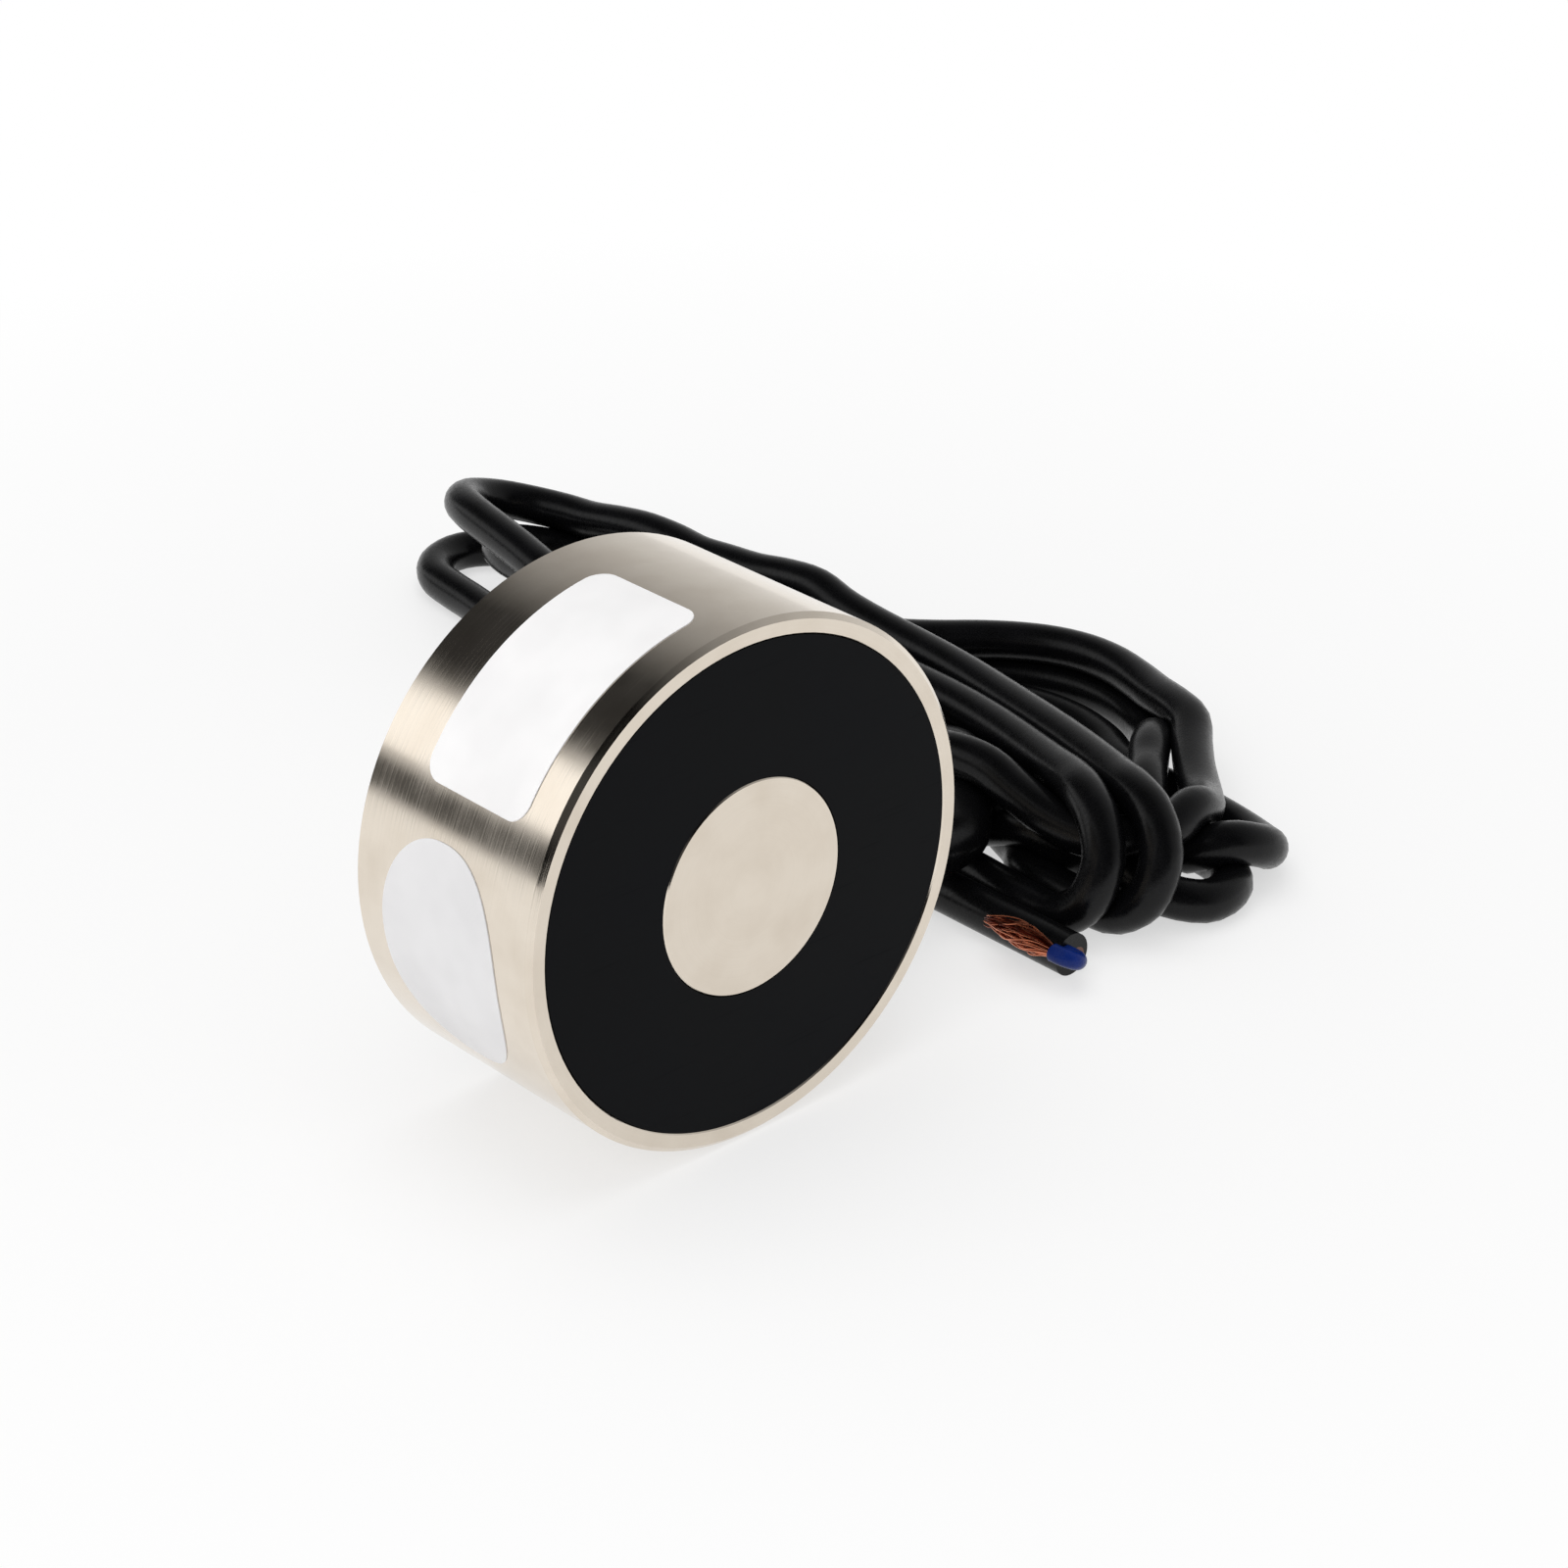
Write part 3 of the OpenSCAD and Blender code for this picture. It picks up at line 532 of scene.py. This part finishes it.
class MAGNET_OT_wiring(bpy.types.Operator):
    """Finishes the bobbin, the winding, its tape, and the leads, sleeves and cores"""
    bl_idname = "magnet.wiring"
    bl_label = "Bobbin, coil and cores"

    def execute(self, context):
        settings = context.scene.magnet_wiring
        dress(soft_plastic("Nylon, moulded", settings.nylon, "#D6CAAE", 0.5, 0.5 * MM, 0.03 * MM), "bobbin")
        dress(copper_wire("Enamelled copper, wound", "#A4532E", "#8C4424", 0.28), "coil_winding")
        dress(soft_plastic("Polyester tape, wound", settings.tape, "#C99D2E", 0.3, 2 * MM, 0.05 * MM), "coil_tape")
        dress(soft_plastic("Silicone sleeve, extruded", "#A8261A", "#8E2018", 0.5, 0.4 * MM, 0.02 * MM),
              "start_lead", "finish_lead")
        dress(braided_sleeve("Glass sleeve, braided", "#E8E6DC", "#CFCBBE"), "start_sleeve", "finish_sleeve")
        dress(soft_plastic("PVC core, extruded, blue", settings.blue, "#0C2A70", 0.3, 0.3 * MM, 0.01 * MM),
              "blue_core_inner")
        dress(soft_plastic("PVC core, extruded, brown", settings.brown, "#5A301C", 0.3, 0.3 * MM, 0.01 * MM),
              "brown_core_inner", "brown_core_end")
        return {"FINISHED"}


class MAGNET_OT_strands(bpy.types.Operator):
    """Fans out the bare wires at the cable's cut end"""
    bl_idname = "magnet.strands"
    bl_label = "Bare wires"

    def execute(self, context):
        settings = context.scene.magnet_strands
        draw = random.Random(11)
        start = np.array((0.06129, -0.019, 0.00627))
        corners, faces = [], []
        for _ in range(settings.count):
            turn = draw.uniform(0, 2 * math.pi)
            depth = math.sqrt(draw.random())
            twist = draw.gauss(1.6, 0.5)
            reach = settings.length * draw.uniform(0.82, 0.99)
            wobble = draw.uniform(0.1, 0.4) * MM
            phase = draw.uniform(0, 2 * math.pi)
            waves = draw.uniform(7, 17)
            line = []
            for i in range(25):
                share = i / 24
                spread = depth * MM * (0.65 * (1 - share) + 1.5 * math.sin(math.pi * share ** 0.9) + 0.7 * share)
                angle = turn + twist * share
                sway = wobble * math.sin(phase + waves * share) * min(1, 3 * share)
                lift = 0.5 * MM * math.sin(math.pi * share)
                line.append(start + (spread * math.cos(angle) + sway - lift, reach * share,
                                     spread * math.sin(angle) + sway * math.cos(phase) + lift))
            wire_corners, wire_faces = tube(np.array(line), settings.wire / 2, 6)
            faces += [tuple(k + len(corners) for k in face) for face in wire_faces]
            corners += [tuple(corner) for corner in wire_corners]
        mesh = bpy.data.meshes.new("copper_wires")
        mesh.from_pydata(corners, [], faces)
        mesh.shade_smooth()
        # The wires' tones run from #5A1C0E, partly painted shade between the wires, up to the setting's colour, partly
        # painted glints.
        mesh.materials.append(copper_wire("Copper wire, drawn", settings.colour, "#5A1C0E", 0.24, True))
        wires = bpy.data.objects.new("copper_wires", mesh)
        context.collection.objects.link(wires)
        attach(wires, "root")
        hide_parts("copper_strands")
        return {"FINISHED"}


class MAGNET_OT_core(bpy.types.Operator):
    """Folds the blue core back over the cable's cut end"""
    bl_idname = "magnet.core"
    bl_label = "Blue core's fold"

    def execute(self, context):
        settings = context.scene.magnet_wiring
        outward = np.array((0.0, -1.0, 0.0))
        aside = np.array((-0.8829, 0.0, 0.4695))
        root = np.array(TAIL_ROUTE[-1]) + 0.006 * outward + 0.0015 * aside
        line = [root, root + 0.0015 * outward]
        bend = root + 0.0035 * outward + settings.fold * aside
        for step in range(13):
            angle = math.pi * step / 12
            line.append(bend + settings.fold * (math.sin(angle) * outward - math.cos(angle) * aside))
        line.append(line[-1] - 0.0005 * outward)
        corners, faces = tube(smooth_line(line, 0.0003), 0.00145, 24)
        mesh = bpy.data.meshes.new("blue_core")
        mesh.from_pydata([tuple(corner) for corner in corners], [], faces)
        mesh.shade_smooth()
        mesh.materials.append(soft_plastic("PVC core, extruded, blue, cut", settings.blue, "#061B52", 0.3,
                                           0.3 * MM, 0.01 * MM, 0.2))
        core = bpy.data.objects.new("blue_core", mesh)
        context.collection.objects.link(core)
        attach(core, "root")
        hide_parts("blue_core_end")
        return {"FINISHED"}


class MAGNET_OT_cable(bpy.types.Operator):
    """Builds the cable from the bush through its loose hank to the tail"""
    bl_idname = "magnet.cable"
    bl_label = "Cable and bush"

    def execute(self, context):
        settings = context.scene.magnet_cable
        route = LEAD_ROUTE + hank_route() + TAIL_ROUTE
        line = settle(smooth_line(route, 0.0035), settings.diameter, settings.bend, 300)
        line = smooth_line(line[::2].tolist() + ([] if len(line) % 2 else [line[-1].tolist()]), 0.002)
        curve = bpy.data.curves.new("cable", "CURVE")
        curve.dimensions = "3D"
        curve.bevel_depth = settings.diameter / 2
        curve.bevel_resolution = 8
        spline = curve.splines.new("POLY")
        spline.points.add(len(line) - 1)
        for point, place in zip(spline.points, line):
            point.co = (*place, 1.0)
        spline.use_smooth = True
        cable = bpy.data.objects.new("cable", curve)
        context.collection.objects.link(cable)
        jacket = soft_plastic("PVC jacket, extruded", settings.jacket, "#070708", 0.28, 0.5 * MM, 0.03 * MM, 0.22)
        curve.materials.append(jacket)
        dress(jacket, "jacket_inner", "cable_jacket_end")
        dress(soft_plastic("Rubber bush, moulded", settings.rubber, "#101011", 0.6, 0.4 * MM, 0.05 * MM), "cable_bush")
        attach(cable, "root")
        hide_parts("cable_lead_out", "cable_hank", "cable_tail")
        return {"FINISHED"}


# The tent round the part, for glossy surfaces: its tone at each angle from the left (0) over the top to the right (1).
TENT_TONES = [(0.0, 0.75), (0.02, 0.10), (0.075, 0.10), (0.125, 1.0), (0.25, 1.0), (0.32, 0.10), (0.36, 0.03),
              (0.52, 0.03), (0.58, 0.12), (0.68, 0.30), (0.80, 0.48), (0.95, 0.70), (1.0, 0.8)]


class MAGNET_OT_stage(bpy.types.Operator):
    """Sets the floor, the lamps, the studio tent and the camera at the photograph's angle"""
    bl_idname = "magnet.stage"
    bl_label = "Stage"

    def execute(self, context):
        settings = context.scene.magnet_stage
        camera_data = bpy.data.cameras.new("camera")
        camera_data.sensor_width = 36
        camera_data.lens = settings.lens
        camera = bpy.data.objects.new("camera", camera_data)
        axes = Matrix(((0.7383, -0.6744, 0.0), (0.3065, 0.3355, 0.8908), (-0.6008, -0.6577, 0.4545))).transposed()
        camera.matrix_world = Matrix.Translation((-0.3148, -0.37003, 0.29667)) @ axes.to_4x4()
        context.collection.objects.link(camera)
        context.scene.camera = camera

        mesh = bpy.data.meshes.new("floor")
        mesh.from_pydata([(-4, -4, 0), (4, -4, 0), (4, 4, 0), (-4, 4, 0)], [], [(0, 1, 2, 3)])
        floor = bpy.data.objects.new("floor", mesh)
        context.collection.objects.link(floor)
        material, tree = new_material("Backdrop paper, matt")
        away = add_node(tree, "ShaderNodeVectorMath", {0: object_place(tree), 1: (0.05, 0.06, 0)},
                        operation="DISTANCE").outputs["Value"]
        share = add_node(tree, "ShaderNodeMath", {0: between(tree, away, 0.6, 1.0, 0.12, 0.30), 1: self.seen(tree)},
                         operation="MULTIPLY", use_clamp=True).outputs[0]
        paper = add_node(tree, "ShaderNodeBsdfDiffuse", {"Color": linear(settings.floor)}).outputs[0]
        white = add_node(tree, "ShaderNodeEmission", {"Color": (1, 1, 1, 1), "Strength": 1.0}).outputs[0]
        surface = add_node(tree, "ShaderNodeMixShader", {0: share, 1: paper, 2: white}).outputs[0]
        add_node(tree, "ShaderNodeOutputMaterial", {"Surface": surface})
        mesh.materials.append(material)

        world = context.scene.world or bpy.data.worlds.new("studio")
        context.scene.world = world
        world.use_nodes = True
        tree = world.node_tree
        tree.nodes.clear()
        direction = add_node(tree, "ShaderNodeTexCoord").outputs["Generated"]
        way = add_node(tree, "ShaderNodeSeparateXYZ", {0: direction})
        left = add_node(tree, "ShaderNodeMath", {0: way.outputs["X"], 1: -1.0}, operation="MULTIPLY").outputs[0]
        angle = add_node(tree, "ShaderNodeMath", {0: way.outputs["Z"], 1: left}, operation="ARCTAN2").outputs[0]
        angle = add_node(tree, "ShaderNodeMath", {0: angle, 1: math.pi}, operation="DIVIDE").outputs[0]
        tent = add_node(tree, "ShaderNodeValToRGB", {0: angle})
        while len(tent.color_ramp.elements) < len(TENT_TONES):
            tent.color_ramp.elements.new(0.5)
        for stop, (place, tone) in zip(tent.color_ramp.elements, TENT_TONES):
            stop.position = place
            stop.color = (tone, tone, tone, 1)
        # The photographer's side of the tent is dark.
        facing = add_node(tree, "ShaderNodeVectorMath", {0: direction, 1: (-0.6008, -0.6577, 0.4545)},
                          operation="DOT_PRODUCT").outputs["Value"]
        dark = between(tree, facing, 1.0, 0.06, 0.72, 0.86)
        tone = add_node(tree, "ShaderNodeVectorMath", {0: tent.outputs["Color"], "Scale": dark},
                        operation="SCALE").outputs[0]
        glossy = add_node(tree, "ShaderNodeLightPath").outputs["Is Glossy Ray"]
        colour = add_node(tree, "ShaderNodeMix", {0: glossy, 6: (1, 1, 1, 1), 7: tone},
                          data_type="RGBA").outputs[2]
        strength = between(tree, self.seen(tree), settings.ambient, 1.0, 0.0, 1.0)
        light = add_node(tree, "ShaderNodeBackground", {"Color": colour, "Strength": strength}).outputs[0]
        add_node(tree, "ShaderNodeOutputWorld", {"Surface": light})

        self.lamp(context, "top lamp", settings.top_lamp, (-0.1, 0.1, 1.4), 1.2, False)
        self.lamp(context, "key lamp", settings.key_lamp, (-1.1, -0.6, 0.9), 1.0, False)
        self.lamp(context, "glint lamp", settings.glint_lamp, (-0.90, 0.95, 0.63), 0.5, True)
        context.scene.view_settings.view_transform = "Standard"
        return {"FINISHED"}

    def seen(self, tree):
        """1 for what the camera, metal and clear parts see, 0 for what lights matt surfaces."""
        path = add_node(tree, "ShaderNodeLightPath")
        seen = add_node(tree, "ShaderNodeMath", {0: path.outputs["Is Camera Ray"], 1: path.outputs["Is Glossy Ray"]},
                        operation="ADD").outputs[0]
        return add_node(tree, "ShaderNodeMath", {0: seen, 1: path.outputs["Is Transmission Ray"]},
                        operation="ADD", use_clamp=True).outputs[0]

    def lamp(self, context, name, power, place, size, mirrored):
        """A square soft lamp that looks at the part; only a mirrored one shows in glossy surfaces."""
        data = bpy.data.lights.new(name, "AREA")
        data.energy = power
        data.size = size
        lamp = bpy.data.objects.new(name, data)
        lamp.location = place
        lamp.rotation_euler = (Vector(place) - Vector((0.03, 0.03, 0.03))).to_track_quat("Z", "Y").to_euler()
        lamp.visible_glossy = mirrored
        context.collection.objects.link(lamp)


class MAGNET_PT_tools(bpy.types.Panel):
    bl_label = "Holding electromagnet"
    bl_space_type = "VIEW_3D"
    bl_region_type = "UI"
    bl_category = "Magnet"

    def draw(self, context):
        for step in STEPS:
            self.layout.operator(step.bl_idname)


STEPS = (MAGNET_OT_core, MAGNET_OT_strands, MAGNET_OT_cable, MAGNET_OT_pot, MAGNET_OT_resin, MAGNET_OT_labels, MAGNET_OT_wiring,
         MAGNET_OT_stage)
SETTINGS = {"magnet_steel": SteelSettings, "magnet_resin": ResinSettings, "magnet_labels": LabelSettings,
            "magnet_wiring": WiringSettings, "magnet_strands": StrandSettings, "magnet_cable": CableSettings,
            "magnet_stage": StageSettings}
CLASSES = (*SETTINGS.values(), *STEPS, MAGNET_PT_tools)


def register():
    for item in CLASSES:
        bpy.utils.register_class(item)
    for name, group in SETTINGS.items():
        setattr(bpy.types.Scene, name, bpy.props.PointerProperty(type=group))


def unregister():
    for name in SETTINGS:
        delattr(bpy.types.Scene, name)
    for item in reversed(CLASSES):
        bpy.utils.unregister_class(item)


def main():
    register()
    bpy.ops.magnet.core()
    bpy.ops.magnet.strands()
    bpy.ops.magnet.cable()
    bpy.ops.magnet.pot()
    bpy.ops.magnet.resin()
    bpy.ops.magnet.labels()
    bpy.ops.magnet.wiring()
    bpy.ops.magnet.stage()


if __name__ == "__main__":
    main()
